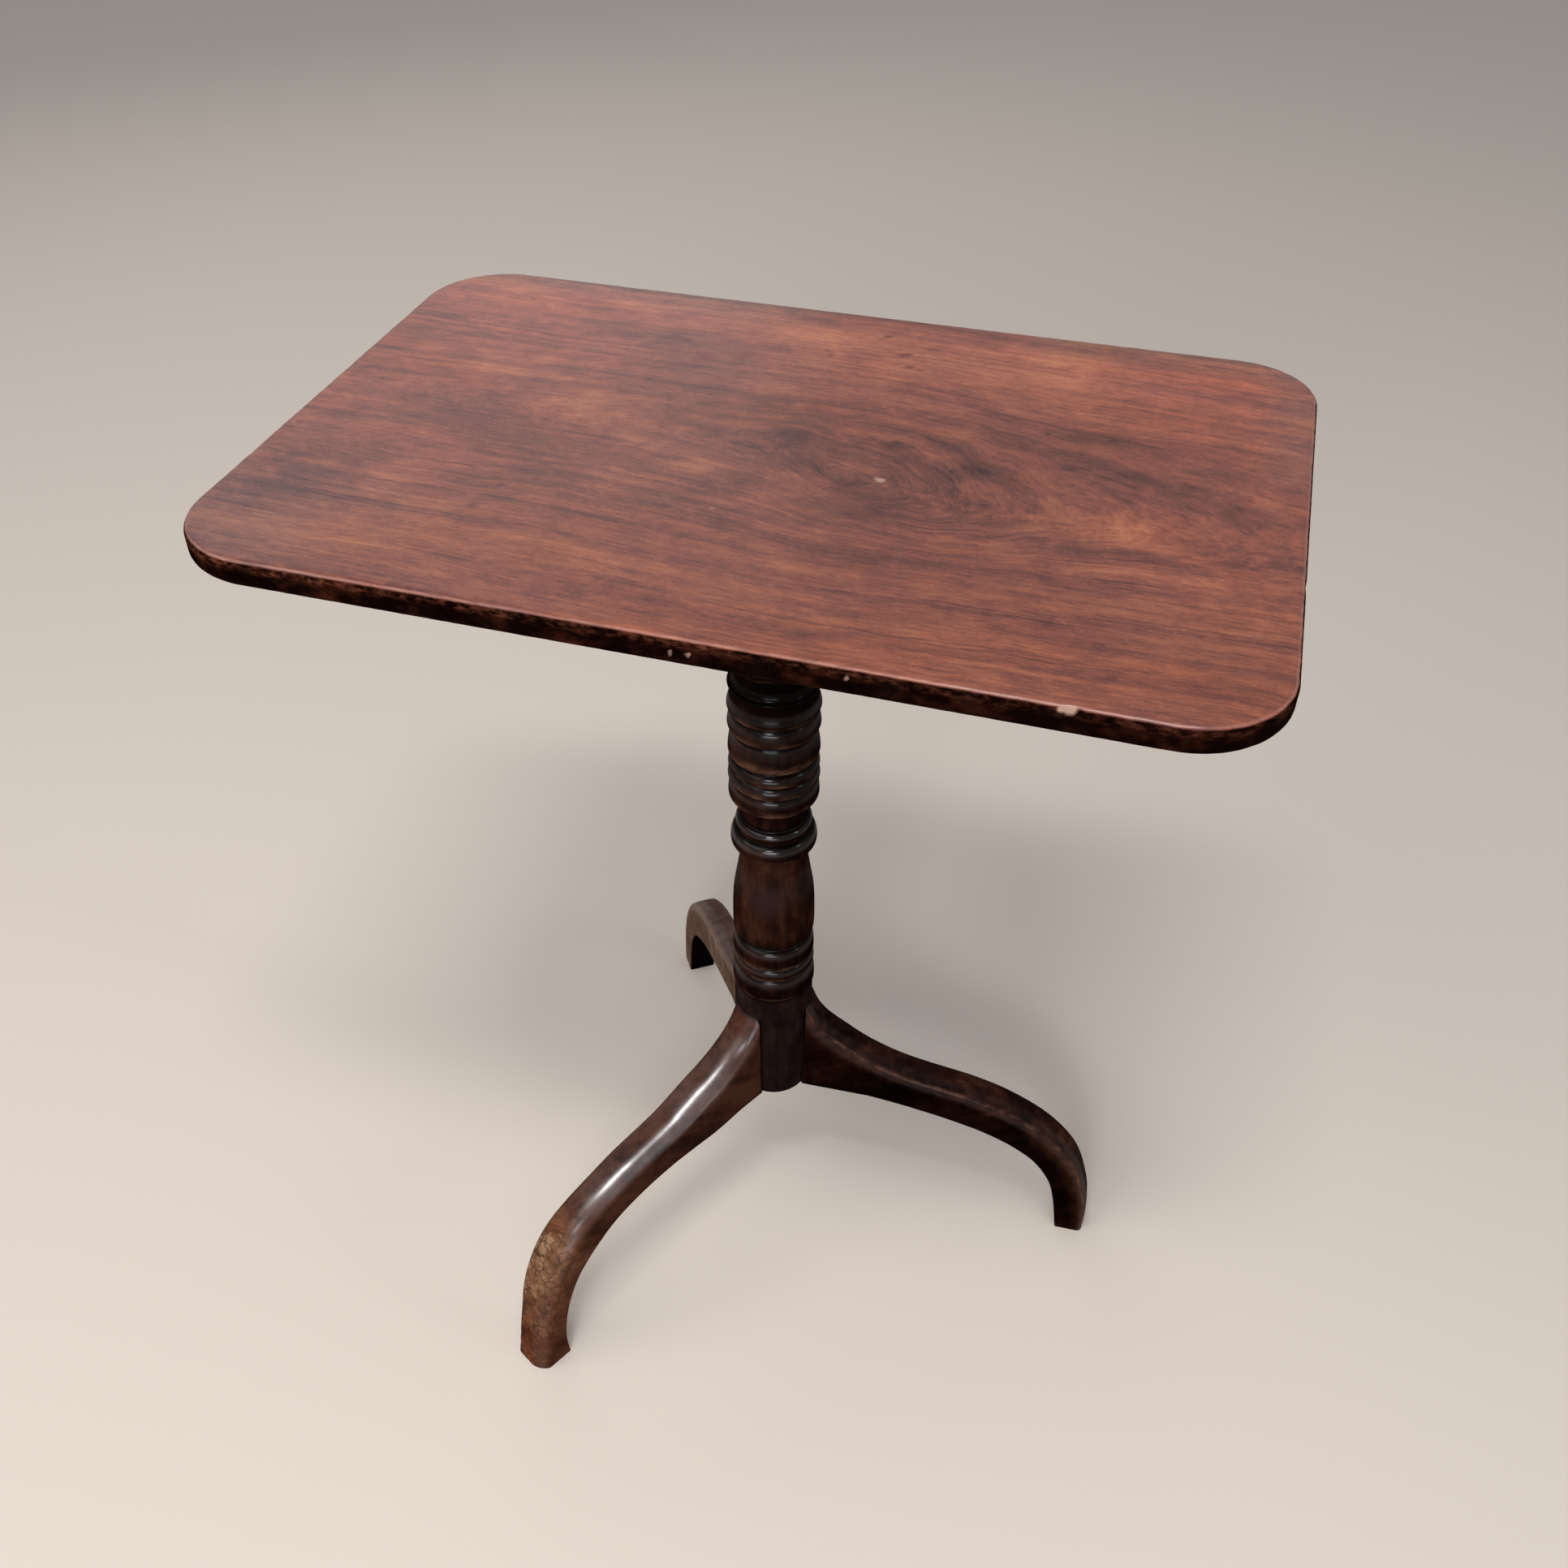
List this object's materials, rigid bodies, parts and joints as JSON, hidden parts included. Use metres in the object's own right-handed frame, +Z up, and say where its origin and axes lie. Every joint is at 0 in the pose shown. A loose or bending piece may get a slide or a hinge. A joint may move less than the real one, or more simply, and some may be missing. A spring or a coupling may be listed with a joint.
{
  "type": "tilt-top tripod table",
  "caption": "Occasional table with a rounded rectangular wooden top that tilts upright on a block, carried by a ring-turned pillar on swept tripod legs.",
  "frame": {"origin": "on the floor at the centre of the whole table's bounding box in plan; the axis of the pillar stands at (-0.0035, 0.0128) m and the middle of the top at (0, 0.0135) m", "axes": "+Z up, +X along the long side and the grain of the top, -Y towards the front, +Y towards the side that the top tilts down on"},
  "size_m": [0.613, 0.475, 0.711],
  "materials": {
    "top_wood": "satin, old polish",
    "pillar_wood": "glossy, dark stain",
    "leg_wood": "satin, worn",
    "block_wood": "bare, aged",
    "bearer_wood": "bare, aged",
    "wedge_wood": "bare, pale end grain",
    "iron": "dull, oxidised",
    "screw_steel": "dull, aged",
    "catch_brass": "tarnished"
  },
  "bodies": {
    "stand": {"column": "pillar_wood", "column_wedge": "wedge_wood", "leg_right": "leg_wood", "leg_rear": "leg_wood", "leg_front_left": "leg_wood", "hinge_block": "block_wood", "pivot_pin_left": "iron", "pivot_pin_right": "iron", "keeper_plate": "catch_brass", "keeper_screws": "catch_brass", "base_brace": "iron", "brace_screws": "screw_steel"},
    "tilting_top": {"table_top": "top_wood", "bearer_left": "bearer_wood", "bearer_right": "bearer_wood", "bearer_screws": "screw_steel", "catch_plate": "catch_brass", "catch_case": "catch_brass", "catch_spring": "catch_brass", "catch_screws": "catch_brass"},
    "sliding_bolt": {"catch_bolt": "catch_brass", "catch_knob": "catch_brass"}
  },
  "joints": [
    {"name": "top_tilt", "type": "hinge", "parent": "stand", "child": "tilting_top", "pos_m": [-0.0035, 0.0549, 0.68], "axis": [-1, 0, 0], "range_deg": [0, 90]},
    {"name": "catch_throw", "type": "slide", "parent": "tilting_top", "child": "sliding_bolt", "axis": [0, 1, 0], "range_m": [0, 0.008]}
  ]
}
